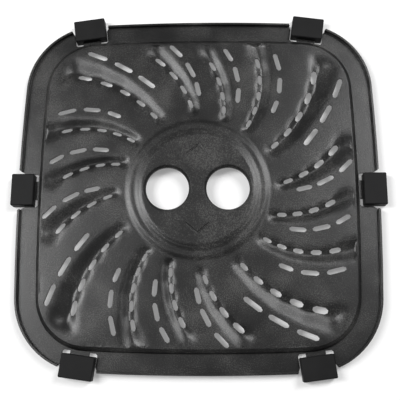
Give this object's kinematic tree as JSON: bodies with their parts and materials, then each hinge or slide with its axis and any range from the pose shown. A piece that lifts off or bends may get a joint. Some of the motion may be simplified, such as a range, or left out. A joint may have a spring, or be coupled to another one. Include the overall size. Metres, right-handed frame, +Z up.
{
  "type": "air fryer grill plate",
  "caption": "Rounded square grill plate of coated pressed steel, with spiral grooves and air slots, a raised centre with finger holes and silicone bumpers round its edge.",
  "frame": {"origin": "under the middle of the plate, on the surface that the bumpers stand on", "axes": "+Z up through the cooking face, +X towards the right bumper, +Y towards the rear pair"},
  "size_m": [0.225, 0.2236, 0.0091],
  "materials": {
    "coated_steel": "charcoal non-stick coating, satin, with a fine speckled texture",
    "silicone": "matt black moulded silicone"
  },
  "bodies": {
    "root": {"grill_plate": "coated_steel", "bumper_right": "silicone", "bumper_left": "silicone", "bumper_rear_right": "silicone", "bumper_rear_left": "silicone", "bumper_front_right": "silicone", "bumper_front_left": "silicone"}
  },
  "joints": []
}
